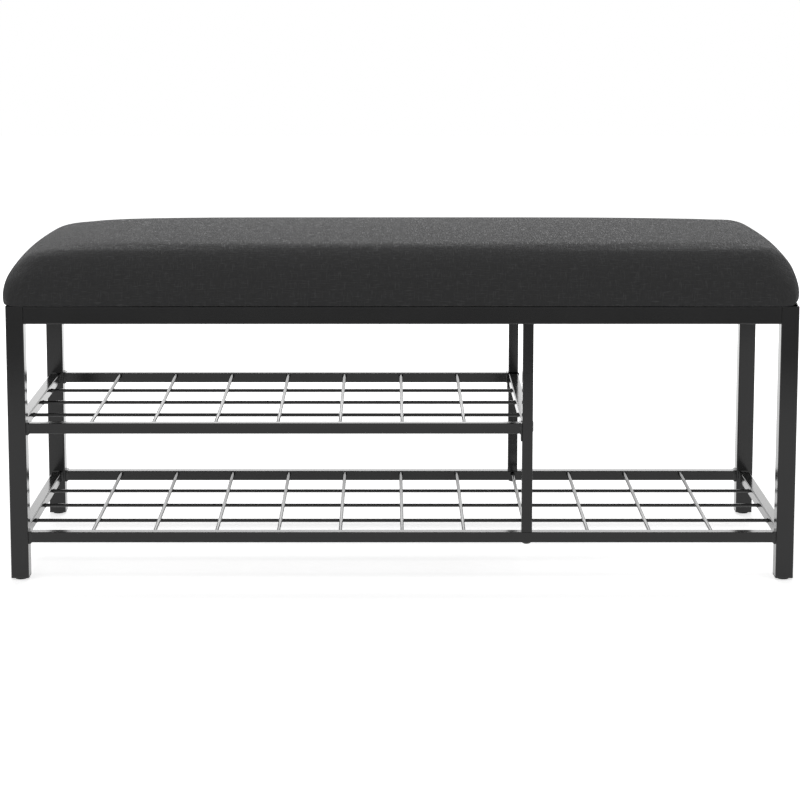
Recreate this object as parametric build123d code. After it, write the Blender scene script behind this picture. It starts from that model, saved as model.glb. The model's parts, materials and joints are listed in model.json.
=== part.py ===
from build123d import *
import os
from math import cos, pi, sin

# Entryway bench: a bolted steel tube frame, two wire shelves, a divider and an upholstered seat.
# Millimetres, +Z up, front towards -Y, origin on the floor under the middle of the bench.

# Frame
frame_length = 1100.0
frame_depth = 400.0
frame_height = 390.0  # floor to the top of the frame
leg_size = 25.0  # square tube of the legs and the rails under the seat
leg_corner = 2.0
rail_size = 15.0  # square tube of the shelves and the divider
rail_corner = 1.5
tube_wall = 1.2

# Shelves
lower_shelf_height = 53.0  # floor to the underside of the rails
upper_shelf_height = 209.0
wire_diameter = 5.0
wire_lift = 5.2  # underside of the rails to the axis of the long wires
weld_gap = 0.05  # between a cross wire and the long wires under it
long_wire_count = 3
cell_count = 12  # between the legs
cells_left_of_divider = 8
end_plate_size = 18.0  # square plate on a rail's end, against the leg
end_plate_thickness = 3.0
tab_thickness = 2.0  # plate on an upper rail's end, welded to the divider post
tab_drop = 10.5  # how far the tab hangs below the rail

# Levelling feet
pad_diameter = 18.0
pad_thickness = 3.0
pad_taper = 0.8  # how far the pad's edge draws in towards the floor
foot_sides = 24  # flats that draw a foot and its bore
stem_diameter = 8.0
stem_length = 20.0
stem_clearance = 0.05
plug_flange = 2.0  # the part of the plug that shows under the leg
plug_depth = 18.0  # inside the leg
plug_fit = 0.1

# Bolts
round_sides = 12  # flats that draw a bolt, its holes or a wire, which all repeat
bolt_diameter = 6.0
bolt_clearance = 0.3  # radial, in a hole that the bolt passes through
thread_clearance = 0.05  # radial, in a hole that the bolt screws into
bolt_tail = 3.0  # length past the piece that it screws into
button_diameter = 13.0  # domed head that shows under a rail
button_height = 2.7
button_crown = 7.0  # flat on the top of the dome
flush_diameter = 12.0  # flat head that fills a flared hole
flush_depth = 3.0
nut_plate_thickness = 4.0
nut_plate_fit = 0.1

# Seat
seat_thickness = 77.5
seat_overhang = 8.0  # from the frame to the widest line of the cushion
belly_height = 15.0  # underside of the seat to that line
seat_tuck = 9.0  # how far the cover pulls in below it
seat_roll = 58.0  # width of the rounded top edge
seat_corner = 48.0  # radius of the corners, seen from above, at the widest line
corner_growth = 1.2  # the corners open by this much for each millimetre that the edge rolls in
belly_steps = 2  # flats that draw the swell under the widest line
roll_steps = 4  # flats that draw the rolled edge
cover_thickness = 1.2
cover_ease = 0.3
hem_width = 35.0  # cover turned under the board
board_thickness = 12.0
edge_padding = 4.0  # foam round the edge of the board
dust_cover_thickness = 0.6
dust_cover_gap = 5.0  # to the rails round it
seat_bolt_pitch = 800.0
seat_bolt_count = 2  # along each long rail
seat_bolt_inset = 18.0  # from the face of the frame
tee_flange_diameter = 14.0
tee_flange_thickness = 1.2
tee_barrel_wall = 1.0
tee_fit = 0.1

# Places that follow from the sizes above
half_length = frame_length / 2
half_depth = frame_depth / 2
leg_x = half_length - leg_size / 2
leg_y = half_depth - leg_size / 2
leg_bottom = pad_thickness + plug_flange
inner_x = half_length - leg_size
inner_y = half_depth - leg_size
top_rail_bottom = frame_height - leg_size
top_rail_middle = frame_height - leg_size / 2
cell_length = 2 * inner_x / cell_count
divider_x = -inner_x + cells_left_of_divider * cell_length
divider_face = divider_x - rail_size / 2
wire_end_x = leg_x - rail_size / 2
wire_end_y = leg_y - rail_size / 2
wire_pitch_y = 2 * wire_end_y / (long_wire_count + 1)
seat_bottom = frame_height
board_bottom = seat_bottom + cover_thickness
board_top = board_bottom + board_thickness
seat_length = frame_length + 2 * seat_overhang
seat_depth = frame_depth + 2 * seat_overhang
board_inset = seat_tuck + cover_thickness + cover_ease + edge_padding
seat_bolt_y = half_depth - seat_bolt_inset
tee_barrel_diameter = bolt_diameter + 2 * (thread_clearance + tee_barrel_wall)

sides = {"left": -1, "right": 1}
depths = {"front": -1, "rear": 1}
shelves = {"lower": lower_shelf_height, "upper": upper_shelf_height}
nodes = {}


def square_tube(size, corner, start, end):
    """A square tube with rounded corners from start to end, along X, Y or Z."""
    run = Vector(*end) - Vector(*start)
    across = Vector(0, 0, 1) if abs(run.Z) < run.length / 2 else Vector(1, 0, 0)
    hollow = size - 2 * tube_wall
    section = RectangleRounded(size, size, corner) - Rectangle(hollow, hollow)
    return extrude(Plane(origin=start, x_dir=across, z_dir=run) * section, run.length)


def faceted_rod(diameter, start, end, flats=round_sides):
    """A round bar from start to end, drawn with a few flats."""
    run = Vector(*end) - Vector(*start)
    return extrude(Plane(origin=start, z_dir=run) * RegularPolygon(diameter / 2, flats), run.length)


def plate(length, width, height, centre):
    """A flat rectangular plate about its centre."""
    return Pos(*centre) * Box(length, width, height)


def nut_plate(size, face, inwards):
    """The plate inside a square tube's end that a bolt screws into, flush with the end at face."""
    fitted = size - 2 * (tube_wall + nut_plate_fit)
    outline = Plane(origin=face, x_dir=(0, 1, 0), z_dir=inwards) * Rectangle(fitted, fitted)
    return extrude(outline, nut_plate_thickness)


def through_hole(start, end):
    """The clearance hole that a bolt passes through."""
    return faceted_rod(bolt_diameter + 2 * bolt_clearance, start, end)


def screw_hole(start, end):
    """The hole that a bolt screws into."""
    return faceted_rod(bolt_diameter + 2 * thread_clearance, start, end)


def flared(start_diameter, start, end_diameter, end):
    """A round piece along Z that widens or narrows from one height to another."""
    first = Pos(0, 0, start) * RegularPolygon(start_diameter / 2, round_sides)
    last = Pos(0, 0, end) * RegularPolygon(end_diameter / 2, round_sides)
    return loft([first, last])


def flared_mouth(start, end):
    """The mouth of a hole that a flush bolt's head fills."""
    head = flared(flush_diameter, 0, bolt_diameter, flush_depth)
    return Plane(origin=start, z_dir=Vector(*end) - Vector(*start)).location * head


def flush_bolt(start, end):
    """A flat-head bolt, level with the face that it goes in by."""
    return flared_mouth(start, end) + faceted_rod(bolt_diameter, start, end)


def button_bolt(start, end):
    """A button-head bolt, whose dome stands out from the face that it goes in by."""
    dome = flared(button_crown, -button_height, button_diameter, 0)
    head = Plane(origin=start, z_dir=Vector(*end) - Vector(*start)).location * dome
    return head + faceted_rod(bolt_diameter, start, end)


def add(name, *pieces):
    """Keeps a node: one solid, or a group of separate like solids."""
    solids = [solid for piece in pieces for solid in piece.solids()]
    nodes[name] = solids[0] if len(solids) == 1 else Compound(solids)


# Bolts that hold the bench together: each is where it goes in, which way it points and its grip
leg_bolts = []
for side in sides.values():
    for depth in depths.values():
        heights = [top_rail_middle, lower_shelf_height + rail_size / 2]
        if side < 0:
            heights.append(upper_shelf_height + rail_size / 2)
        for height in heights:
            seat = (side * half_length, depth * leg_y, height)
            leg_bolts.append((seat, (-side, 0, 0), leg_size + nut_plate_thickness))

post_bolts = []
for depth in depths.values():
    under_rail = (divider_x, depth * leg_y, lower_shelf_height)
    post_bolts.append((under_rail, (0, 0, 1), rail_size + nut_plate_thickness))

seat_bolts = []
for index in range(seat_bolt_count):
    x = (index - (seat_bolt_count - 1) / 2) * seat_bolt_pitch
    for depth in depths.values():
        under_rail = (x, depth * seat_bolt_y, top_rail_bottom)
        grip = leg_size + cover_thickness + board_thickness - 2 * bolt_tail
        seat_bolts.append((under_rail, (0, 0, 1), grip))


def along_bolt(shape, bolt_row):
    """A bolt or its hole, from the face that the bolt goes in by to its tip."""
    seat, towards, grip = bolt_row
    tip = Vector(*seat) + Vector(*towards) * (grip + bolt_tail)
    return shape(seat, (tip.X, tip.Y, tip.Z))


def drilled(piece, hole, bolt_rows):
    """The piece with a hole for each bolt of these rows that runs into it."""
    box = piece.bounding_box()
    for bolt_row in bolt_rows:
        path = along_bolt(hole, bolt_row)
        reach = path.bounding_box()
        meets = all(
            low < far and near < high
            for low, far, near, high in zip(reach.min, box.max, box.min, reach.max)
        )
        if meets:
            piece = piece - path
    return piece


def countersunk(piece, bolt_rows):
    """The piece with clearance holes and flared mouths for the flush bolts of these rows."""
    return drilled(drilled(piece, through_hole, bolt_rows), flared_mouth, bolt_rows)


# Legs with their plugs and levelling feet
plugs = []
for side_name, side in sides.items():
    for depth_name, depth in depths.items():
        x = side * leg_x
        y = depth * leg_y
        leg = square_tube(leg_size, leg_corner, (x, y, leg_bottom), (x, y, frame_height))
        add(f"leg_{depth_name}_{side_name}", countersunk(leg, leg_bolts))

        bore = stem_diameter + 2 * stem_clearance
        core = leg_size - 2 * (tube_wall + plug_fit)
        flange = extrude(Pos(x, y, pad_thickness) * RectangleRounded(leg_size, leg_size, leg_corner), plug_flange)
        body = plate(core, core, plug_depth, (x, y, leg_bottom + plug_depth / 2))
        plug_top = (x, y, leg_bottom + plug_depth)
        plugs.append(flange + body - faceted_rod(bore, (x, y, pad_thickness), plug_top, foot_sides))

        floor_outline = Pos(x, y, 0) * RegularPolygon(pad_diameter / 2 - pad_taper, foot_sides)
        top_outline = Pos(x, y, pad_thickness) * RegularPolygon(pad_diameter / 2, foot_sides)
        stem_top = (x, y, pad_thickness + stem_length)
        stem = faceted_rod(stem_diameter, (x, y, pad_thickness), stem_top, foot_sides)
        add(f"levelling_foot_{depth_name}_{side_name}", loft([floor_outline, top_outline]) + stem)
add("leg_plugs", *plugs)

# Rails under the seat, with a nut plate in each end of the long ones
top_nut_plates = []
for side_name, side in sides.items():
    x = side * leg_x
    ends = [(x, -inner_y, top_rail_middle), (x, inner_y, top_rail_middle)]
    add(f"top_end_rail_{side_name}", square_tube(leg_size, leg_corner, *ends))
for depth_name, depth in depths.items():
    y = depth * leg_y
    ends = [(-inner_x, y, top_rail_middle), (inner_x, y, top_rail_middle)]
    rail = square_tube(leg_size, leg_corner, *ends)
    add(f"top_rail_{depth_name}", countersunk(rail, seat_bolts))
    for side in sides.values():
        nut = nut_plate(leg_size, (side * inner_x, y, top_rail_middle), (-side, 0, 0))
        top_nut_plates.append(drilled(nut, screw_hole, leg_bolts))
add("top_rail_nut_plates", *top_nut_plates)

# Divider: two posts welded under the long rails and bolted on the lower shelf, and the bar between them
post_nut_plates = []
for depth_name, depth in depths.items():
    y = depth * leg_y
    post_bottom = lower_shelf_height + rail_size
    post = square_tube(rail_size, rail_corner, (divider_x, y, post_bottom), (divider_x, y, top_rail_bottom))
    add(f"divider_post_{depth_name}", post)
    nut = nut_plate(rail_size, (divider_x, y, post_bottom), (0, 0, 1))
    post_nut_plates.append(drilled(nut, screw_hole, post_bolts))
add("post_nut_plates", *post_nut_plates)
bar_height = upper_shelf_height + rail_size / 2
bar_ends = [(divider_x, -wire_end_y, bar_height), (divider_x, wire_end_y, bar_height)]
add("divider_bar", square_tube(rail_size, rail_corner, *bar_ends))

# Shelves: long rails with plates on their ends, end bars, long wires and the cross wires on them
end_plates = []
post_tabs = []
for shelf_name, shelf_height in shelves.items():
    is_upper = shelf_name == "upper"
    middle = shelf_height + rail_size / 2
    rail_left = -inner_x + end_plate_thickness
    rail_right = divider_face - tab_thickness if is_upper else -rail_left
    for depth_name, depth in depths.items():
        y = depth * leg_y
        rail = square_tube(rail_size, rail_corner, (rail_left, y, middle), (rail_right, y, middle))
        rail = drilled(rail, through_hole, [] if is_upper else post_bolts)
        add(f"{shelf_name}_shelf_rail_{depth_name}", rail)
        for side in (-1,) if is_upper else (-1, 1):
            centre = (side * (inner_x - end_plate_thickness / 2), y, middle)
            end_plate = plate(end_plate_thickness, end_plate_size, end_plate_size, centre)
            end_plates.append(drilled(end_plate, screw_hole, leg_bolts))
        if is_upper:
            tab_height = rail_size + tab_drop
            centre = (rail_right + tab_thickness / 2, y, shelf_height + rail_size - tab_height / 2)
            post_tabs.append(plate(tab_thickness, rail_size, tab_height, centre))

    for side_name, side in sides.items():
        if is_upper and side > 0:
            continue
        bar_ends = [(side * leg_x, -inner_y, middle), (side * leg_x, inner_y, middle)]
        add(f"{shelf_name}_end_bar_{side_name}", square_tube(rail_size, rail_corner, *bar_ends))

    long_height = shelf_height + wire_lift
    cross_height = long_height + wire_diameter + weld_gap
    wire_right = divider_face if is_upper else wire_end_x
    for index in range(1, long_wire_count + 1):
        y = -wire_end_y + index * wire_pitch_y
        wire = faceted_rod(wire_diameter, (-wire_end_x, y, long_height), (wire_right, y, long_height))
        add(f"{shelf_name}_long_wire_{index}", wire)
    for index in range(1, cells_left_of_divider if is_upper else cell_count):
        x = -inner_x + index * cell_length
        wire = faceted_rod(wire_diameter, (x, -wire_end_y, cross_height), (x, wire_end_y, cross_height))
        add(f"{shelf_name}_cross_wire_{index}", wire)
add("rail_end_plates", *end_plates)
add("post_tabs", *post_tabs)


def cushion(shrink):
    """The seat's outer form, taken in by shrink: it swells to the belly line, then rolls over to the top."""
    bottom = seat_bottom + shrink
    belly = seat_bottom + belly_height
    rise = seat_thickness - belly_height - shrink
    levels = []
    for step in range(belly_steps):
        share = step / belly_steps
        levels.append((bottom + (belly - bottom) * share, seat_tuck * (1 - share) ** 2))
    for step in range(roll_steps + 1):
        angle = pi / 2 * step / roll_steps
        levels.append((belly + rise * sin(angle), seat_roll * (1 - cos(angle))))
    outlines = []
    for height, inset in levels:
        length = seat_length - 2 * (inset + shrink)
        depth = seat_depth - 2 * (inset + shrink)
        corner = seat_corner + corner_growth * inset - shrink
        outlines.append(Pos(0, 0, height) * RectangleRounded(length, depth, corner))
    return loft(outlines, ruled=True)


def board_outline(grow, bottom, thickness):
    """The board's outline, let out by grow, as a slab."""
    length = seat_length - 2 * (board_inset - grow)
    depth = seat_depth - 2 * (board_inset - grow)
    outline = RectangleRounded(length, depth, seat_corner - edge_padding + grow)
    return extrude(Pos(0, 0, bottom) * outline, thickness)


# Seat: plywood board with tee nuts, foam over its edge, fabric cover turned under, dust cover below
board = board_outline(0, board_bottom, board_thickness)
foam = cushion(cover_thickness + cover_ease) - board_outline(cover_ease, seat_bottom, board_top - seat_bottom)
hem_opening = board_outline(-hem_width, seat_bottom, 2 * cover_thickness)
cover = drilled(cushion(0) - cushion(cover_thickness) - hem_opening, through_hole, seat_bolts)
dust_length = 2 * (inner_x - dust_cover_gap)
dust_depth = 2 * (inner_y - dust_cover_gap)
dust_middle = (0, 0, seat_bottom - dust_cover_thickness / 2)
tee_nuts = []
for seat, towards, grip in seat_bolts:
    x, y, _ = seat
    barrel = faceted_rod(tee_barrel_diameter, (x, y, board_bottom), (x, y, board_top))
    flange = faceted_rod(tee_flange_diameter, (x, y, board_top - tee_flange_thickness), (x, y, board_top))
    tee_nuts.append(drilled(barrel + flange, screw_hole, seat_bolts))
    board -= faceted_rod(tee_barrel_diameter + 2 * tee_fit, (x, y, board_bottom), (x, y, board_top))
    recess = (x, y, board_top - tee_flange_thickness)
    board -= faceted_rod(tee_flange_diameter + 2 * tee_fit, recess, (x, y, board_top))
add("seat_cover", cover)
add("seat_foam", foam)
add("seat_board", board)
add("tee_nuts", *tee_nuts)
add("dust_cover", plate(dust_length, dust_depth, dust_cover_thickness, dust_middle))

# Bolts, as groups of like ones
add("leg_bolts", *[along_bolt(flush_bolt, bolt_row) for bolt_row in leg_bolts])
add("post_bolts", *[along_bolt(button_bolt, bolt_row) for bolt_row in post_bolts])
add("seat_bolts", *[along_bolt(flush_bolt, bolt_row) for bolt_row in seat_bolts])

os.makedirs("parts", exist_ok=True)
for name, shape in nodes.items():
    export_step(shape, f"parts/{name}.step")
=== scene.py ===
import json
import math
import random

import bmesh
import bpy
from mathutils import Matrix, Vector, noise


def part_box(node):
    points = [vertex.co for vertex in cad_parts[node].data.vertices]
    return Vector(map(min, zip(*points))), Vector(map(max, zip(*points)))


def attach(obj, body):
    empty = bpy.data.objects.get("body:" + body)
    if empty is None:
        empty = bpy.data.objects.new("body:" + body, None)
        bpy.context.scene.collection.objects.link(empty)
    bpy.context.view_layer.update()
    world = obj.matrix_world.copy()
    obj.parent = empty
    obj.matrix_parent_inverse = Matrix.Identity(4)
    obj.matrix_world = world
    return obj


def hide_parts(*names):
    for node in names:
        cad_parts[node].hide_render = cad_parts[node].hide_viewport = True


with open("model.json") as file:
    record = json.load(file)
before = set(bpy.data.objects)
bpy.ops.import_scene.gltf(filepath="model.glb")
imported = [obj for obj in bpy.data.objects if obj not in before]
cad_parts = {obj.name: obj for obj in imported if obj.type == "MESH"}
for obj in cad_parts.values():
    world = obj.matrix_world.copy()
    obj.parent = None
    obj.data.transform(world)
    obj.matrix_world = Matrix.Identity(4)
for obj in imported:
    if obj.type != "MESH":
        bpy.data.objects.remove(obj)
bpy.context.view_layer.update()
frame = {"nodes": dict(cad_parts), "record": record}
nodes = frame["nodes"]

# Camera, at the photograph's viewing angle
camera_place = Vector((-0.0196, -3.3625, 0.900))
camera_tilt = math.radians(8.108)
camera_lens = 104.2
camera_shift = (0.0147, -0.17)

# Light
fill_level = 0.56  # the room, as matt surfaces see it
floor_colour = (0.86, 0.86, 0.86, 1.0)
floor_glow = 0.64
floor_size = 14.0
back_panel = {"place": (0.0, 2.7, 0.95), "aim": (0.0, 0.0, 0.25), "size": (3.4, 1.5), "watts": 15.0}
high_panel = {"place": (0.0, 2.7, 2.0), "aim": (0.0, 0.0, 0.45), "size": (2.6, 0.5), "watts": 43.0}
flag_reach = (-3.3, -1.65)  # the grey card on the floor in front, from and to, along Y
flag_width = 6.0
flag_lift = 0.002
flag_grey = 0.42

# Seat cushion
seat_low, seat_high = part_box("seat_cover")
belly_height = 0.011  # from the seat's underside to its widest line
seat_tuck = 0.0018  # how far the cover pulls in below that line
front_roll = 0.058  # width of the rounded top edge at the front and the back
left_end = {"inset": 0.0010, "roll": 0.052, "lean": 0.0083, "droop": 0.0145, "bow": 0.0145}
right_end = {"inset": 0.0050, "roll": 0.056, "lean": 0.0043, "droop": 0.0, "bow": 0.0143}
droop_start = 0.300  # from the seat's middle to where its top starts to fall towards the ends
crown = 0.0055  # how much higher the middle of the seat stands
hem_power = 5.0  # how square the corners are at the hem, seen from above: 2 is a plain ellipse
top_power = 1.9  # the same at the top
blank_pitch = (0.012, 0.010, 0.006)  # spacing of the blank's cuts along X, Y and Z
voxel_size = 0.008
padding_pressure = 4.0
padding_frames = 20
padding_reach = 0.0025  # the most that the padding pushes any point of the cover out
padding_evening = 40  # rounds of averaging over neighbouring points
padding_hold = 0.4  # share of the belly's height, from the hem up, that the padding leaves in place
hem_wave = 0.0006
hem_wave_scale = 14.0
hem_lip = 0.0026  # how far the hem hangs below the top of the frame, outside it
pleat_depth = 0.0009
pleat_height = 0.022
pleat_fade = 1.5  # how fast the gathers die away upwards
pleat_waves = 22  # gathers in a full turn

# Wires and welds
wire_steps = 16
weld_length = 0.0022
weld_swell = 0.0011
weld_profile = ((1.0, 0.0), (0.8, 0.3), (0.25, 0.75), (0.0, 1.4))  # shares of the swell and of the length
crossing_radius = 0.0028
crossing_spread = 0.0003
crossing_height = 0.0014  # half the bead's thickness
tube_bead = 0.0016
tube_bead_corner = 0.0024
tube_bead_ripple = 0.00012
tube_bead_ripple_scale = 700

# Bolts
head_steps = 24
shank_radius = 0.003
tip_chamfer = 0.0008
socket_flats = 0.004
socket_depth = 0.0018
socket_rim = 0.0003
flush_depth = 0.003
flush_rim = 0.0003
button_height = 0.0027
button_crown = 0.5  # share of the head's radius that is flat on top
button_dome = 0.9  # share of the head's height that is rounded
button_steps = 6

# Dust cloth and staples
cloth_cut = 0.02  # spacing of the mesh
cloth_sag = 0.0022
cloth_ripple_scale = (5, 9)  # along X and Y
slack_width = 0.05  # from the staples to where the cloth hangs freely
staple_crown = 0.0105
staple_wire = 0.0011
staple_flat = 0.6  # thickness of a staple as a share of its width
staple_edge = 0.2  # cut off each edge of a staple, as a share of its width
staple_drop = 0.2  # from the cloth down to the middle of a staple, as a share of its width
staple_gap = 0.055
staple_inset = 0.008
staple_turn = 0.25  # the most that a staple is turned from its line, in radians

random.seed(7)
noise.seed_set(7)  # else the weld beads' ripple would follow the clock


# Node helpers

def place_node(tree, kind, inputs=None, **settings):
    """A node of this kind in the tree, with its settings and constant inputs."""
    node = tree.nodes.new(kind)
    for name, value in settings.items():
        setattr(node, name, value)
    for name, value in (inputs or {}).items():
        node.inputs[name].default_value = value
    return node


def effect_group(name, inputs, outputs):
    """An empty shader node group with named sockets, and its two end nodes."""
    tree = bpy.data.node_groups.new(name, "ShaderNodeTree")
    for socket, kind in inputs.items():
        tree.interface.new_socket(socket, in_out="INPUT", socket_type=kind)
    for socket in outputs:
        tree.interface.new_socket(socket, in_out="OUTPUT", socket_type="NodeSocketFloat")
    return tree, tree.nodes.new("NodeGroupInput"), tree.nodes.new("NodeGroupOutput")


def use_group(tree, group, inputs=None):
    """The effect group placed in a material's tree."""
    return place_node(tree, "ShaderNodeGroup", inputs, node_tree=group)


def new_finish(name, constants):
    """A new material with its Principled shader, whose constant sockets are set on the shader."""
    material = bpy.data.materials.new(name)
    material.use_nodes = True
    shader = material.node_tree.nodes["Principled BSDF"]
    for socket, value in constants.items():
        shader.inputs[socket].default_value = value
    return material, material.node_tree, shader


def tint(tree, factor, dark, light, shader):
    """Runs the base colour from dark to light by a mask."""
    ramp = place_node(tree, "ShaderNodeMix", data_type="RGBA")
    ramp.inputs["A"].default_value = (*dark, 1.0)
    ramp.inputs["B"].default_value = (*light, 1.0)
    tree.links.new(factor, ramp.inputs["Factor"])
    tree.links.new(ramp.outputs["Result"], shader.inputs["Base Color"])


def spread(tree, factor, low, high, target):
    """Maps a mask from 0 to 1 onto a range and joins it to a socket."""
    span = place_node(tree, "ShaderNodeMapRange", {"To Min": low, "To Max": high})
    tree.links.new(factor, span.inputs["Value"])
    tree.links.new(span.outputs["Result"], target)


def emboss(tree, height, strength, distance, shader):
    """A bump from a height to the shader's normal."""
    bump = place_node(tree, "ShaderNodeBump", {"Strength": strength, "Distance": distance})
    tree.links.new(height, bump.inputs["Height"])
    tree.links.new(bump.outputs["Normal"], shader.inputs["Normal"])


def object_coords(tree):
    """The piece's own coordinates, in metres."""
    return place_node(tree, "ShaderNodeTexCoord").outputs["Object"]


# Effects, as node groups

def coat_texture_group():
    """The fine ripple of a sprayed or moulded skin, and a broad mottle."""
    grains = {"Ripple": {"Detail": 2.0, "Roughness": 0.5}, "Mottle": {"Detail": 4.0, "Roughness": 0.6}}
    sockets = {"Vector": "NodeSocketVector"}
    for name in grains:
        sockets[name + " Scale"] = "NodeSocketFloat"
    tree, start, end = effect_group("coat_texture", sockets, grains)
    for name, grain in grains.items():
        texture = place_node(tree, "ShaderNodeTexNoise", grain)
        tree.links.new(start.outputs["Vector"], texture.inputs["Vector"])
        tree.links.new(start.outputs[name + " Scale"], texture.inputs["Scale"])
        tree.links.new(texture.outputs["Fac"], end.inputs[name])
    return tree


def linen_weave_group():
    """Warp and weft threads with the thick places, or slubs, of linen, along a cloth's own directions."""
    tree, start, end = effect_group("linen_weave", {"Vector": "NodeSocketVector"}, ["Threads", "Slubs"])
    threads = place_node(tree, "ShaderNodeMath", operation="MAXIMUM")
    slubs = place_node(tree, "ShaderNodeMath", operation="ADD", use_clamp=True)
    waviness = {"Distortion": 1.2, "Detail": 1.0, "Detail Scale": 0.4}
    runs = (
        {"bands": "X", "scale": 300.0, "stretch": (560.0, 58.0, 1.0), "strength": 0.8},
        {"bands": "Y", "scale": 330.0, "stretch": (70.0, 600.0, 1.0), "strength": 1.0},
    )
    for index, run in enumerate(runs):
        wave = place_node(
            tree, "ShaderNodeTexWave", {"Scale": run["scale"], **waviness},
            wave_type="BANDS", bands_direction=run["bands"],
        )
        tree.links.new(start.outputs["Vector"], wave.inputs["Vector"])
        tree.links.new(wave.outputs["Fac"], threads.inputs[index])
        stretched = place_node(tree, "ShaderNodeMapping", {"Scale": run["stretch"]})
        slub = place_node(tree, "ShaderNodeTexNoise", {"Scale": 1.0, "Detail": 2.0, "Roughness": 0.5})
        thick_places = {"From Min": 0.56, "From Max": 0.74, "To Max": run["strength"]}
        sparse = place_node(tree, "ShaderNodeMapRange", thick_places, clamp=True)
        tree.links.new(start.outputs["Vector"], stretched.inputs["Vector"])
        tree.links.new(stretched.outputs["Vector"], slub.inputs["Vector"])
        tree.links.new(slub.outputs["Fac"], sparse.inputs["Value"])
        tree.links.new(sparse.outputs["Result"], slubs.inputs[index])
    tree.links.new(threads.outputs["Value"], end.inputs["Threads"])
    tree.links.new(slubs.outputs["Value"], end.inputs["Slubs"])
    return tree


coat_texture = coat_texture_group()
linen_weave = linen_weave_group()


# Finishes

def coated_finish(name, dark, light, rough, ripple, mottle, relief, constants):
    """A painted, plated or moulded skin: mottled colour and gloss over a fine ripple."""
    material, tree, shader = new_finish(name, constants)
    skin = use_group(tree, coat_texture, {"Ripple Scale": ripple, "Mottle Scale": mottle})
    tree.links.new(object_coords(tree), skin.inputs["Vector"])
    tint(tree, skin.outputs["Mottle"], dark, light, shader)
    spread(tree, skin.outputs["Mottle"], *rough, shader.inputs["Roughness"])
    emboss(tree, skin.outputs["Ripple"], *relief, shader)
    return material


def black_paint_finish():
    """Gloss black powder coat, a little paler along the edges: partly rubbed paint, partly a painted
    highlight.
    """
    material, tree, shader = new_finish("black_paint", {"IOR": 1.45})
    skin = use_group(tree, coat_texture, {"Ripple Scale": 520.0, "Mottle Scale": 9.0})
    tree.links.new(object_coords(tree), skin.inputs["Vector"])
    rounded = place_node(tree, "ShaderNodeBevel", {"Radius": 0.0012}, samples=4)
    surface = place_node(tree, "ShaderNodeNewGeometry")
    facing = place_node(tree, "ShaderNodeVectorMath", operation="DOT_PRODUCT")
    tree.links.new(rounded.outputs["Normal"], facing.inputs[0])
    tree.links.new(surface.outputs["Normal"], facing.inputs[1])
    # paler base colour at the edges: partly rubbed paint, partly a painted highlight where light catches the
    # edges
    edge_range = {"From Min": 1.0, "From Max": 0.8, "To Min": 0.0, "To Max": 0.8}
    edge_rub_and_highlight = place_node(tree, "ShaderNodeMapRange", edge_range)
    tree.links.new(facing.outputs["Value"], edge_rub_and_highlight.inputs["Value"])
    worn_and_highlit = place_node(tree, "ShaderNodeMath", operation="MULTIPLY")
    tree.links.new(edge_rub_and_highlight.outputs["Result"], worn_and_highlit.inputs[0])
    tree.links.new(skin.outputs["Mottle"], worn_and_highlit.inputs[1])
    tint(tree, worn_and_highlit.outputs["Value"], (0.008, 0.008, 0.0083), (0.035, 0.035, 0.036), shader)
    spread(tree, skin.outputs["Mottle"], 0.1, 0.2, shader.inputs["Roughness"])
    emboss(tree, skin.outputs["Ripple"], 0.06, 0.0004, shader)
    return material


def linen_finish():
    """Charcoal linen-look cloth, on the cushion's own cloth map."""
    sheen = {"Sheen Weight": 0.14, "Sheen Roughness": 0.35, "Sheen Tint": (0.75, 0.75, 0.77, 1.0)}
    gloss = {"IOR": 1.4, "Coat IOR": 1.2, "Coat Roughness": 0.5}
    slub_height = 4.0  # how much higher a slub stands than a thread
    material, tree, shader = new_finish("seat_fabric", {**sheen, **gloss})
    cloth_map = place_node(tree, "ShaderNodeUVMap", uv_map="cloth")
    weave = use_group(tree, linen_weave)
    tree.links.new(cloth_map.outputs["UV"], weave.inputs["Vector"])
    heather = use_group(tree, coat_texture, {"Mottle Scale": 115.0})
    tree.links.new(cloth_map.outputs["UV"], heather.inputs["Vector"])
    clear = place_node(tree, "ShaderNodeMapRange", {"From Min": 0.35, "From Max": 0.65})
    tree.links.new(heather.outputs["Mottle"], clear.inputs["Value"])
    flecks = place_node(tree, "ShaderNodeMix", {"Factor": 0.8}, data_type="FLOAT")
    tree.links.new(clear.outputs["Result"], flecks.inputs["A"])
    tree.links.new(weave.outputs["Slubs"], flecks.inputs["B"])
    tint(tree, flecks.outputs["Result"], (0.041, 0.041, 0.0415), (0.057, 0.057, 0.058), shader)
    spread(tree, flecks.outputs["Result"], 1.0, 0.8, shader.inputs["Roughness"])
    spread(tree, weave.outputs["Slubs"], 0.0, 0.55, shader.inputs["Coat Weight"])
    height = place_node(tree, "ShaderNodeMath", operation="MULTIPLY_ADD")
    tree.links.new(flecks.outputs["Result"], height.inputs[0])
    height.inputs[1].default_value = slub_height
    tree.links.new(weave.outputs["Threads"], height.inputs[2])
    emboss(tree, height.outputs["Value"], 0.5, 0.0006, shader)
    return material


def plywood_finish():
    """Raw plywood: long grain on its face and plies on its edge."""
    material, tree, shader = new_finish("plywood", {"Roughness": 0.75})
    grain = place_node(tree, "ShaderNodeMapping", {"Scale": (6.0, 90.0, 1500.0)})
    tree.links.new(object_coords(tree), grain.inputs["Vector"])
    figure = place_node(tree, "ShaderNodeTexNoise", {"Scale": 1.0, "Detail": 5.0, "Roughness": 0.6})
    tree.links.new(grain.outputs["Vector"], figure.inputs["Vector"])
    tint(tree, figure.outputs["Fac"], (0.36, 0.23, 0.12), (0.62, 0.46, 0.29), shader)
    emboss(tree, figure.outputs["Fac"], 0.25, 0.0005, shader)
    return material


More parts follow.
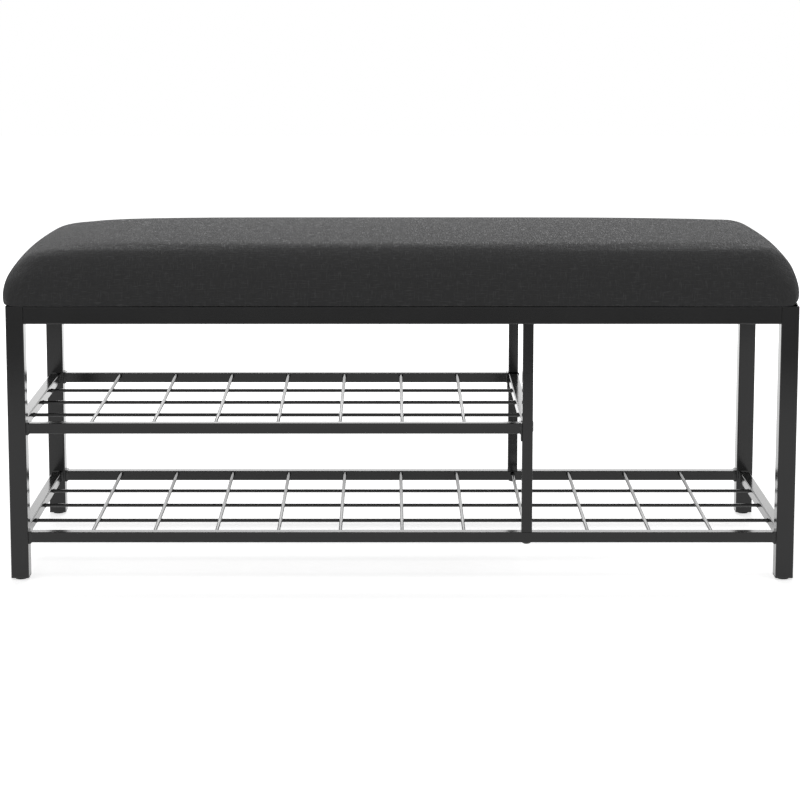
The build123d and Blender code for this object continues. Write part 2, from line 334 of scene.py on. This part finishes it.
finishes = {
    "black_paint": black_paint_finish(),
    "black_bolts": coated_finish(
        "black_bolts", dark=(0.012, 0.012, 0.013), light=(0.032, 0.031, 0.030), rough=(0.25, 0.42),
        ripple=900.0, mottle=60.0, relief=(0.08, 0.0003), constants={"Metallic": 0.35, "IOR": 1.6},
    ),
    "zinc_steel": coated_finish(
        "zinc_steel", dark=(0.42, 0.42, 0.43), light=(0.62, 0.62, 0.60), rough=(0.25, 0.45),
        ripple=700.0, mottle=120.0, relief=(0.1, 0.0003), constants={"Metallic": 1.0},
    ),
    "black_plastic": coated_finish(
        "black_plastic", dark=(0.012, 0.012, 0.012), light=(0.024, 0.024, 0.025), rough=(0.42, 0.55),
        ripple=1400.0, mottle=40.0, relief=(0.2, 0.0003), constants={},
    ),
    "foot_plastic": coated_finish(
        "foot_plastic", dark=(0.014, 0.014, 0.014), light=(0.03, 0.03, 0.03), rough=(0.45, 0.6),
        ripple=1100.0, mottle=80.0, relief=(0.2, 0.0003), constants={},
    ),
    "seat_fabric": linen_finish(),
    "seat_foam": coated_finish(
        "seat_foam", dark=(0.62, 0.57, 0.42), light=(0.80, 0.76, 0.62), rough=(0.9, 1.0),
        ripple=900.0, mottle=30.0, relief=(0.6, 0.001), constants={},
    ),
    "plywood": plywood_finish(),
    "dust_cloth": coated_finish(
        "dust_cloth", dark=(0.010, 0.010, 0.010), light=(0.026, 0.026, 0.027), rough=(0.85, 1.0),
        ripple=1800.0, mottle=260.0, relief=(0.5, 0.0004), constants={},
    ),
}
for row in frame["record"]["subparts"]:
    node = nodes[row["node"]]
    node.data.materials.clear()
    node.data.materials.append(finishes[row["material_slot"]])


# Piece helpers

def keep_piece(name, shape, slot, body="frame"):
    """Makes a finished bmesh a piece that rides on a body."""
    bmesh.ops.recalc_face_normals(shape, faces=shape.faces)
    mesh = bpy.data.meshes.new(name)
    shape.to_mesh(mesh)
    shape.free()
    piece = bpy.data.objects.new(name, mesh)
    bpy.context.scene.collection.objects.link(piece)
    mesh.materials.append(finishes[slot])
    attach(piece, body)
    return piece


def smooth_by_angle(piece, degrees):
    """Smooth shading with sharp edges where faces turn by more than this."""
    mesh = piece.data
    mesh.shade_smooth()
    mesh.set_sharp_from_angle(angle=math.radians(degrees))


def upright(direction):
    """The turn that takes +Z to a direction."""
    return Vector((0, 0, 1)).rotation_difference(Vector(direction)).to_matrix().to_4x4()


def turned(shape, profile, steps):
    """Spins a profile of (radius, height) points about Z, closed where it starts or ends on the axis."""
    points = [shape.verts.new((radius, 0, height)) for radius, height in profile]
    edges = [shape.edges.new(pair) for pair in zip(points, points[1:])]
    bmesh.ops.spin(
        shape, geom=points + edges, cent=(0, 0, 0), axis=(0, 0, 1), angle=2 * math.pi,
        steps=steps, use_merge=True,
    )
    bmesh.ops.remove_doubles(shape, verts=shape.verts, dist=1e-6)


def add_shape(shape, single):
    """Adds a small bmesh to a larger one."""
    mesh = bpy.data.meshes.new("part")
    single.to_mesh(mesh)
    single.free()
    shape.from_mesh(mesh)
    bpy.data.meshes.remove(mesh)


# Seat cushion

def held_back(value, limit):
    """The value kept between minus the limit and the limit."""
    return max(-limit, min(limit, value))


def cushion_point(point):
    """Where a point of a plain box goes on the cushion's form: rolled top edges, a belly and a tucked hem."""
    half = (seat_high - seat_low) / 2
    belly = seat_low.z + belly_height
    rise = seat_high.z - belly
    x, y, z = point
    end = left_end if x < 0 else right_end
    side = Vector((end["roll"], front_roll))
    core = Vector((half.x - end["inset"] - end["roll"], half.y - front_roll))
    x *= (half.x - end["inset"]) / half.x
    held = Vector((held_back(x, core.x), held_back(y, core.y)))
    out = Vector(((x - held.x) / side.x, (y - held.y) / side.y, max(0.0, z - belly) / rise))
    power = hem_power + (top_power - hem_power) * out.z
    spread_out = (abs(out.x) ** power + abs(out.y) ** power) ** (1 / power)
    if z <= belly:
        out *= max(abs(out.x), abs(out.y)) / max(spread_out, 1e-9)
        side -= Vector((1, 1)) * seat_tuck * ((belly - z) / belly_height) ** 2
        height = z
    else:
        out /= math.hypot(spread_out, out.z)
        height = belly + out.z * rise
    return settle_end(Vector((held.x + out.x * side.x, held.y + out.y * side.y, height)), end)


def settle_end(point, end):
    """Crowns the top, lets it fall towards the seat's end, bows the end out and leans it in at the top."""
    half = (seat_high.x - seat_low.x) / 2
    share = max(0.0, (point.z - seat_low.z - belly_height) / (seat_high.z - seat_low.z - belly_height))
    near = max(0.0, (abs(point.x) - droop_start) / (half - droop_start))
    swell = crown * (1 - (point.x / half) ** 4) * (1 - (point.y / seat_high.y) ** 2)
    bow = end["bow"] * (1 - (point.y / seat_high.y) ** 2)
    out = math.copysign(near, point.x) * (bow * share - end["lean"] * share ** 3)
    return point + Vector((out, 0, share * (swell - end["droop"] * near ** 4)))


def cushion_blank():
    """A box cut finely and moved onto the cushion's form."""
    shape = bmesh.new()
    bmesh.ops.create_cube(shape, size=1.0)
    size = seat_high - seat_low
    bmesh.ops.scale(shape, vec=size, verts=shape.verts)
    bmesh.ops.translate(shape, vec=(seat_low + seat_high) / 2, verts=shape.verts)
    for axis, pitch in enumerate(blank_pitch):
        cuts = int(size[axis] / pitch)
        for index in range(1, cuts):
            place = Vector(seat_low)
            place[axis] += size[axis] * index / cuts
            normal = Vector((0, 0, 0))
            normal[axis] = 1
            everything = shape.verts[:] + shape.edges[:] + shape.faces[:]
            bmesh.ops.bisect_plane(shape, geom=everything, plane_co=place, plane_no=normal)
    for vert in shape.verts:
        vert.co = cushion_point(vert.co)
    bmesh.ops.recalc_face_normals(shape, faces=shape.faces)
    return shape


def remeshed(piece):
    """Gives the piece an even mesh of small squares."""
    remesh = piece.modifiers.new("even mesh", "REMESH")
    remesh.mode = "VOXEL"
    remesh.voxel_size = voxel_size
    bake_modifiers(piece)


def bake_modifiers(piece):
    """Applies all the piece's modifiers to its mesh."""
    graph = bpy.context.evaluated_depsgraph_get()
    made = bpy.data.meshes.new_from_object(piece.evaluated_get(graph))
    piece.modifiers.clear()
    old = piece.data
    piece.data = made
    bpy.data.meshes.remove(old)


def pad_out(piece):
    """Swells the cover by cloth pressure, held at its hem, and caps how far out any point goes."""
    rest = [vert.co.copy() for vert in piece.data.vertices]
    outwards = [vert.normal.copy() for vert in piece.data.vertices]
    held_below = seat_low.z + belly_height * padding_hold
    held = piece.vertex_groups.new(name="hem")
    held.add([i for i, co in enumerate(rest) if co.z < held_below], 1.0, "REPLACE")
    cloth = piece.modifiers.new("padding", "CLOTH")
    settings = cloth.settings
    settings.quality = 4
    settings.mass = 0.25
    settings.tension_stiffness = 30.0
    settings.compression_stiffness = 30.0
    settings.shear_stiffness = 12.0
    settings.bending_stiffness = 1.0
    settings.use_pressure = True
    settings.uniform_pressure_force = padding_pressure
    settings.effector_weights.gravity = 0.0
    settings.vertex_group_mass = "hem"
    cloth.collision_settings.use_collision = False
    cloth.point_cache.frame_start = 1
    cloth.point_cache.frame_end = padding_frames
    scene = bpy.context.scene
    for step in range(1, padding_frames + 1):
        scene.frame_set(step)
    bake_modifiers(piece)
    scene.frame_set(1)
    moves = evened([vert.co - start for vert, start in zip(piece.data.vertices, rest)], piece.data)
    for vert, start, move, outward in zip(piece.data.vertices, rest, moves, outwards):
        push = max(0.0, move.dot(outward))
        vert.co = start + outward * padding_reach * push / (push + padding_reach)


def evened(moves, mesh):
    """Averages each point's move with its neighbours' moves, so that the cover stays smooth."""
    near = [[] for move in moves]
    for edge in mesh.edges:
        first, second = edge.vertices
        near[first].append(second)
        near[second].append(first)
    for turn in range(padding_evening):
        moves = [sum((moves[i] for i in group), move) / (len(group) + 1) for move, group in zip(moves, near)]
    return moves


def dress_hem(piece):
    """Hangs the hem over the frame's edge, with gathers at the corners and a slight wave between them."""
    half = (seat_high - seat_low) / 2
    frame_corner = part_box("leg_rear_right")[1]
    overhang = half.y - frame_corner.y - seat_tuck
    for vert in piece.data.vertices:
        x, y, z = vert.co
        height = z - seat_low.z
        fade = max(0.0, 1.0 - height / pleat_height) ** pleat_fade
        outside = max(abs(x) - frame_corner.x, abs(y) - frame_corner.y, 0.0)
        vert.co.z -= hem_lip * fade * min(1.0, outside / overhang)
        corner = Vector((abs(x) - (half.x - front_roll), abs(y) - (half.y - front_roll)))
        if corner.x > 0 and corner.y > 0:
            turn = math.atan2(corner.y, corner.x)
            gather = math.cos(turn * pleat_waves) * math.sin(2 * turn) ** 2
            out = Vector((math.copysign(corner.x, x), math.copysign(corner.y, y), 0)).normalized()
            vert.co += out * gather * pleat_depth * fade
        else:
            drift = noise.noise(Vector((x * hem_wave_scale, y * hem_wave_scale, 3.0)))
            along_x = corner.y > corner.x
            side = Vector((0, math.copysign(1, y), 0)) if along_x else Vector((math.copysign(1, x), 0, 0))
            vert.co += side * drift * hem_wave * fade


def lay_cloth_map(piece):
    """Lays a cloth map in metres over the cushion: the top's own X and Y, carried on down the sides."""
    mesh = piece.data
    layer = mesh.uv_layers.new(name="cloth")
    for polygon in mesh.polygons:
        for loop in polygon.loop_indices:
            vert = mesh.vertices[mesh.loops[loop].vertex_index]
            drop = max(0.0, seat_high.z - vert.co.z)
            sideways = Vector((vert.normal.x, vert.normal.y))
            share = sideways / max(1e-6, abs(sideways.x) + abs(sideways.y))
            layer.data[loop].uv = (vert.co.x + drop * share.x, vert.co.y + drop * share.y)


def make_cushion():
    """The upholstered seat: linen cover over foam, as one padded piece."""
    piece = keep_piece("seat_cushion", cushion_blank(), "seat_fabric")
    remeshed(piece)
    pad_out(piece)
    dress_hem(piece)
    finer = piece.modifiers.new("finer", "SUBSURF")
    finer.levels = 1
    finer.render_levels = 1
    bake_modifiers(piece)
    piece.data.shade_smooth()
    lay_cloth_map(piece)
    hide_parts("seat_cover", "seat_foam")


# Shelf wires

def make_wires():
    """Each wire as a round bar that swells into its weld at both ends."""
    for name in sorted(nodes):
        if "_wire_" not in name:
            continue
        low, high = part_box(name)
        along_x = high.x - low.x > high.y - low.y
        radius = (high.z - low.z) / 2
        length = high.x - low.x if along_x else high.y - low.y
        half = [(0.0, 0.0)]
        for swell, along in weld_profile:
            half.append((radius + weld_swell * swell, weld_length * along))
        profile = half + [(wide, length - along) for wide, along in reversed(half)]
        start = (low + high) / 2
        start[0 if along_x else 1] = low.x if along_x else low.y
        direction = (1, 0, 0) if along_x else (0, 1, 0)
        shape = bmesh.new()
        turned(shape, profile, wire_steps)
        bmesh.ops.transform(shape, matrix=Matrix.Translation(start) @ upright(direction), verts=shape.verts)
        piece = keep_piece("round_" + name, shape, "black_paint")
        smooth_by_angle(piece, 50)
        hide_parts(name)


def make_crossing_welds(shelf):
    """A small flattened bead where each cross wire lies on a long wire."""
    shape = bmesh.new()
    longs = [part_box(name) for name in sorted(nodes) if name.startswith(shelf + "_long_wire_")]
    crosses = [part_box(name) for name in sorted(nodes) if name.startswith(shelf + "_cross_wire_")]
    for long_low, long_high in longs:
        for cross_low, cross_high in crosses:
            x = (cross_low.x + cross_high.x) / 2
            y = (long_low.y + long_high.y) / 2
            z = (long_high.z + cross_low.z) / 2
            bead = bmesh.new()
            bmesh.ops.create_icosphere(bead, subdivisions=2, radius=1.0)
            wide = crossing_radius + random.uniform(-crossing_spread, crossing_spread)
            bmesh.ops.scale(bead, vec=(wide, wide, crossing_height), verts=bead.verts)
            bmesh.ops.translate(bead, vec=(x, y, z), verts=bead.verts)
            add_shape(shape, bead)
    piece = keep_piece(shelf + "_crossing_welds", shape, "black_paint")
    piece.data.shade_smooth()


# Welds round the tubes' ends

def weld_bead(shape, middle, size, direction):
    """A flared bead round a square tube's end, at the face that it is welded to."""
    bead = bmesh.new()
    bmesh.ops.create_cube(bead, size=1.0)
    bmesh.ops.scale(bead, vec=(size, size, tube_bead), verts=bead.verts)
    bmesh.ops.translate(bead, vec=(0, 0, tube_bead / 2), verts=bead.verts)
    foot = [vert for vert in bead.verts if vert.co.z < tube_bead / 4]
    wider = (size + 2 * tube_bead) / size
    bmesh.ops.scale(bead, vec=(wider, wider, 1), verts=foot)
    corners = [edge for edge in bead.edges if abs(edge.verts[0].co.z - edge.verts[1].co.z) > tube_bead / 2]
    bmesh.ops.bevel(
        bead, geom=corners, offset=tube_bead_corner, segments=4, profile=0.5, affect="EDGES", material=-1,
    )
    bmesh.ops.subdivide_edges(bead, edges=bead.edges, cuts=2, use_grid_fill=True)
    matrix = Matrix.Translation(middle) @ upright(direction)
    bmesh.ops.transform(bead, matrix=matrix, verts=bead.verts)
    for vert in bead.verts:
        vert.co += noise.noise_vector(vert.co * tube_bead_ripple_scale) * tube_bead_ripple
    add_shape(shape, bead)


def tube_end(name, axis, sign):
    """The middle of a tube's end face, its size, and the way into the tube."""
    low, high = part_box(name)
    middle = (low + high) / 2
    middle[axis] = high[axis] if sign > 0 else low[axis]
    across = (axis + 1) % 3
    inwards = Vector((0, 0, 0))
    inwards[axis] = -sign
    return middle, high[across] - low[across], inwards


def make_tube_welds():
    """Beads where end bars meet legs, the divider meets its neighbours and rails meet their end plates."""
    shape = bmesh.new()
    welds = []
    for name in sorted(nodes):
        if "_end_bar_" in name or name == "divider_bar" or name.startswith("top_end_rail"):
            welds += [(name, 1, -1), (name, 1, 1)]
        elif "shelf_rail" in name:
            welds += [(name, 0, -1), (name, 0, 1)]
        elif name.startswith("divider_post"):
            welds.append((name, 2, 1))
    for name, axis, sign in welds:
        weld_bead(shape, *tube_end(name, axis, sign))
    piece = keep_piece("tube_welds", shape, "black_paint")
    smooth_by_angle(piece, 40)


# Bolts

def islands(name):
    """The separate solids of a CAD group, in the mesh's own order, each as its list of points."""
    shape = bmesh.new()
    shape.from_mesh(nodes[name].data)
    bmesh.ops.remove_doubles(shape, verts=shape.verts, dist=1e-6)
    left = set(shape.verts)
    found = []
    for start in shape.verts:
        if start not in left:
            continue
        left.remove(start)
        group = []
        queue = [start]
        while queue:
            vert = queue.pop()
            group.append(vert.co.copy())
            for edge in vert.link_edges:
                other = edge.other_vert(vert)
                if other in left:
                    left.remove(other)
                    queue.append(other)
        found.append(group)
    shape.free()
    return found


def bolt_place(points):
    """Where a bolt's head ends, the way its shank points, its length and its head's radius."""
    low = Vector(min(point[i] for point in points) for i in range(3))
    high = Vector(max(point[i] for point in points) for i in range(3))
    size = high - low
    axis = max(range(3), key=lambda i: size[i])
    middle = (low + high) / 2
    across = [i for i in range(3) if i != axis]
    radius = size[across[0]] / 2
    wide = [point for point in points if max(abs(point[i] - middle[i]) for i in across) > radius * 0.9]
    sign = 1 if sum(point[axis] - middle[axis] for point in wide) > 0 else -1
    top = Vector(middle)
    top[axis] = high[axis] if sign > 0 else low[axis]
    towards = Vector((0, 0, 0))
    towards[axis] = -sign
    return top, towards, size[axis], radius


def flush_profile(radius):
    """A flat head with a fine rounded rim, down to its shank."""
    rounding = flush_rim * 0.3
    rim = [(radius - flush_rim, 0.0), (radius - rounding, rounding), (radius, flush_rim)]
    return rim + [(shank_radius, flush_depth)]


def button_profile(radius):
    """A low domed head, down to its shank."""
    dome = []
    for step in range(button_steps + 1):
        angle = math.pi / 2 * step / button_steps
        wide = radius * (button_crown + (1 - button_crown) * math.sin(angle))
        dome.append((wide, button_height * button_dome * (1 - math.cos(angle))))
    return dome + [(radius, button_height), (shank_radius, button_height)]


def bolt_shape(profile, length):
    """A bolt from its crown at zero down along +Z, with a hexagon socket in its head."""
    shape = bmesh.new()
    tip = [(shank_radius, length - tip_chamfer), (shank_radius - tip_chamfer, length), (0.0, length)]
    turned(shape, profile + tip, head_steps)
    crown_ring = [vert for vert in shape.verts if vert.co.z < 1e-7]
    crown_edges = [edge for edge in shape.edges if all(vert in crown_ring for vert in edge.verts)]
    face = bmesh.ops.contextual_create(shape, geom=crown_edges)["faces"]
    bmesh.ops.inset_region(shape, faces=face, thickness=socket_rim, use_even_offset=True)
    mouth = face[0].verts[:]
    for vert in mouth:
        turn = math.atan2(vert.co.y, vert.co.x)
        off = (turn + math.pi / 6) % (math.pi / 3) - math.pi / 6
        vert.co.xy = vert.co.xy.normalized() * (socket_flats / 2 / math.cos(off))
    floor_face = bmesh.ops.extrude_face_region(shape, geom=face)["geom"]
    floor_verts = [item for item in floor_face if isinstance(item, bmesh.types.BMVert)]
    bmesh.ops.translate(shape, vec=(0, 0, socket_depth), verts=floor_verts)
    bmesh.ops.delete(shape, geom=face, context="FACES_ONLY")
    return shape


def make_bolts():
    """Detailed bolts in place of each plain group."""
    heads = {"leg_bolts": flush_profile, "post_bolts": button_profile, "seat_bolts": flush_profile}
    for name, head in heads.items():
        shape = bmesh.new()
        for points in islands(name):
            top, towards, length, radius = bolt_place(points)
            single = bolt_shape(head(radius), length)
            bmesh.ops.transform(single, matrix=Matrix.Translation(top) @ upright(towards), verts=single.verts)
            add_shape(shape, single)
        piece = keep_piece("socket_" + name, shape, "black_bolts")
        smooth_by_angle(piece, 35)
        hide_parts(name)


# Dust cloth under the seat

def make_dust_cloth():
    """The thin black cloth under the seat board, a little slack between its staples."""
    low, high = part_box("dust_cover")
    size = high - low
    middle = (low + high) / 2
    shape = bmesh.new()
    columns = round(size.x / cloth_cut)
    rows = round(size.y / cloth_cut)
    bmesh.ops.create_grid(shape, x_segments=columns, y_segments=rows, size=0.5)
    bmesh.ops.scale(shape, vec=(size.x, size.y, 1), verts=shape.verts)
    bmesh.ops.translate(shape, vec=(middle.x, middle.y, high.z), verts=shape.verts)
    scale_x, scale_y = cloth_ripple_scale
    for vert in shape.verts:
        edge = min(size.x / 2 - abs(vert.co.x), size.y / 2 - abs(vert.co.y))
        slack = min(1.0, max(0.0, edge - staple_inset) / slack_width)
        ripple = 0.5 + 0.5 * noise.noise(Vector((vert.co.x * scale_x, vert.co.y * scale_y, 1.0)))
        vert.co.z -= slack * cloth_sag * ripple
    piece = keep_piece("dust_cloth", shape, "dust_cloth")
    thick = piece.modifiers.new("cloth", "SOLIDIFY")
    thick.thickness = size.z
    thick.offset = -1.0
    bake_modifiers(piece)
    piece.data.shade_smooth()
    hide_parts("dust_cover")


def make_staples():
    """Staples along the dust cloth's edge."""
    low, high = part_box("dust_cover")
    size = (staple_crown, staple_wire, staple_wire * staple_flat)
    shape = bmesh.new()
    runs = []
    for side in (-1, 1):
        y = side * (high.y - staple_inset)
        runs.append((Vector((low.x, y, low.z)), Vector((high.x, y, low.z)), 0.0))
        x = side * (high.x - staple_inset)
        runs.append((Vector((x, low.y, low.z)), Vector((x, high.y, low.z)), math.pi / 2))
    for start, end, turn in runs:
        count = int((end - start).length / staple_gap)
        for index in range(1, count):
            spot = start.lerp(end, index / count)
            staple = bmesh.new()
            bmesh.ops.create_cube(staple, size=1.0)
            bmesh.ops.scale(staple, vec=size, verts=staple.verts)
            bmesh.ops.bevel(
                staple, geom=staple.edges, offset=staple_wire * staple_edge, segments=1, profile=0.5,
                affect="EDGES", material=-1,
            )
            lean = turn + random.uniform(-staple_turn, staple_turn)
            bmesh.ops.rotate(staple, cent=(0, 0, 0), matrix=Matrix.Rotation(lean, 3, "Z"), verts=staple.verts)
            spot.z -= staple_wire * staple_drop
            bmesh.ops.translate(staple, vec=spot, verts=staple.verts)
            add_shape(shape, staple)
    keep_piece("dust_cloth_staples", shape, "zinc_steel")


make_cushion()
make_wires()
for shelf in ("lower", "upper"):
    make_crossing_welds(shelf)
make_tube_welds()
make_bolts()
make_dust_cloth()
make_staples()


# Stage

def white_to_camera(tree):
    """1 for rays from the camera, mirrors and glass, 0 for the rest."""
    path = place_node(tree, "ShaderNodeLightPath")
    mirror = place_node(tree, "ShaderNodeMath", operation="MAXIMUM")
    glass = place_node(tree, "ShaderNodeMath", operation="MAXIMUM")
    tree.links.new(path.outputs["Is Camera Ray"], mirror.inputs[0])
    tree.links.new(path.outputs["Is Glossy Ray"], mirror.inputs[1])
    tree.links.new(mirror.outputs["Value"], glass.inputs[0])
    tree.links.new(path.outputs["Is Transmission Ray"], glass.inputs[1])
    return glass.outputs["Value"]


def stage_sheet(name, width, depth, middle, colour, rough):
    """A flat sheet of the stage, its material's tree, and the socket that sets its white glow."""
    shape = bmesh.new()
    bmesh.ops.create_grid(shape, x_segments=1, y_segments=1, size=0.5)
    bmesh.ops.scale(shape, vec=(width, depth, 1), verts=shape.verts)
    bmesh.ops.translate(shape, vec=middle, verts=shape.verts)
    mesh = bpy.data.meshes.new(name)
    shape.to_mesh(mesh)
    shape.free()
    sheet = bpy.data.objects.new(name, mesh)
    bpy.context.scene.collection.objects.link(sheet)
    constants = {"Base Color": colour, "Roughness": rough, "Specular IOR Level": 0.0}
    material, tree, shader = new_finish(name, constants)
    shader.inputs["Emission Color"].default_value = (1.0, 1.0, 1.0, 1.0)
    mesh.materials.append(material)
    return sheet, tree, shader.inputs["Emission Strength"]


def make_floor():
    """A pale floor that keeps the bench's shadow and meets the white background."""
    floor, tree, glow = stage_sheet("floor", floor_size, floor_size, (0, 0, 0), floor_colour, 0.9)
    spread(tree, white_to_camera(tree), 0.0, floor_glow, glow)


def make_front_flag():
    """A grey card on the floor in front, seen only in reflections, which darkens the frame's front faces."""
    near, far = flag_reach
    middle = (0, (near + far) / 2, flag_lift)
    flag, _, glow = stage_sheet("front_flag", flag_width, far - near, middle, (0.0, 0.0, 0.0, 1.0), 1.0)
    glow.default_value = flag_grey
    flag.visible_camera = False
    flag.visible_diffuse = False
    flag.visible_transmission = False
    flag.visible_shadow = False


def make_world():
    """White to the camera and in reflections, softer as light on matt surfaces."""
    world = bpy.data.worlds.new("studio")
    bpy.context.scene.world = world
    world.use_nodes = True
    tree = world.node_tree
    background = tree.nodes["Background"]
    background.inputs["Color"].default_value = (1.0, 1.0, 1.0, 1.0)
    spread(tree, white_to_camera(tree), fill_level, 1.0, background.inputs["Strength"])


def make_panel(name, panel):
    """A soft light panel aimed at the bench."""
    lamp = bpy.data.lights.new(name, "AREA")
    lamp.shape = "RECTANGLE"
    lamp.size, lamp.size_y = panel["size"]
    lamp.energy = panel["watts"]
    light = bpy.data.objects.new(name, lamp)
    bpy.context.scene.collection.objects.link(light)
    light.location = panel["place"]
    aim = Vector(panel["aim"]) - Vector(panel["place"])
    light.rotation_euler = aim.to_track_quat("-Z", "Y").to_euler()
    light.visible_camera = False


def make_camera():
    """The photograph's view, level from side to side."""
    lens = bpy.data.cameras.new("camera")
    lens.lens = camera_lens
    lens.shift_x, lens.shift_y = camera_shift
    camera = bpy.data.objects.new("camera", lens)
    bpy.context.scene.collection.objects.link(camera)
    camera.location = camera_place
    camera.rotation_euler = (math.pi / 2 - camera_tilt, 0.0, 0.0)
    bpy.context.scene.camera = camera


make_floor()
make_front_flag()
make_world()
make_panel("back_panel", back_panel)
make_panel("high_panel", high_panel)
make_camera()
bpy.context.scene.view_settings.view_transform = "Standard"
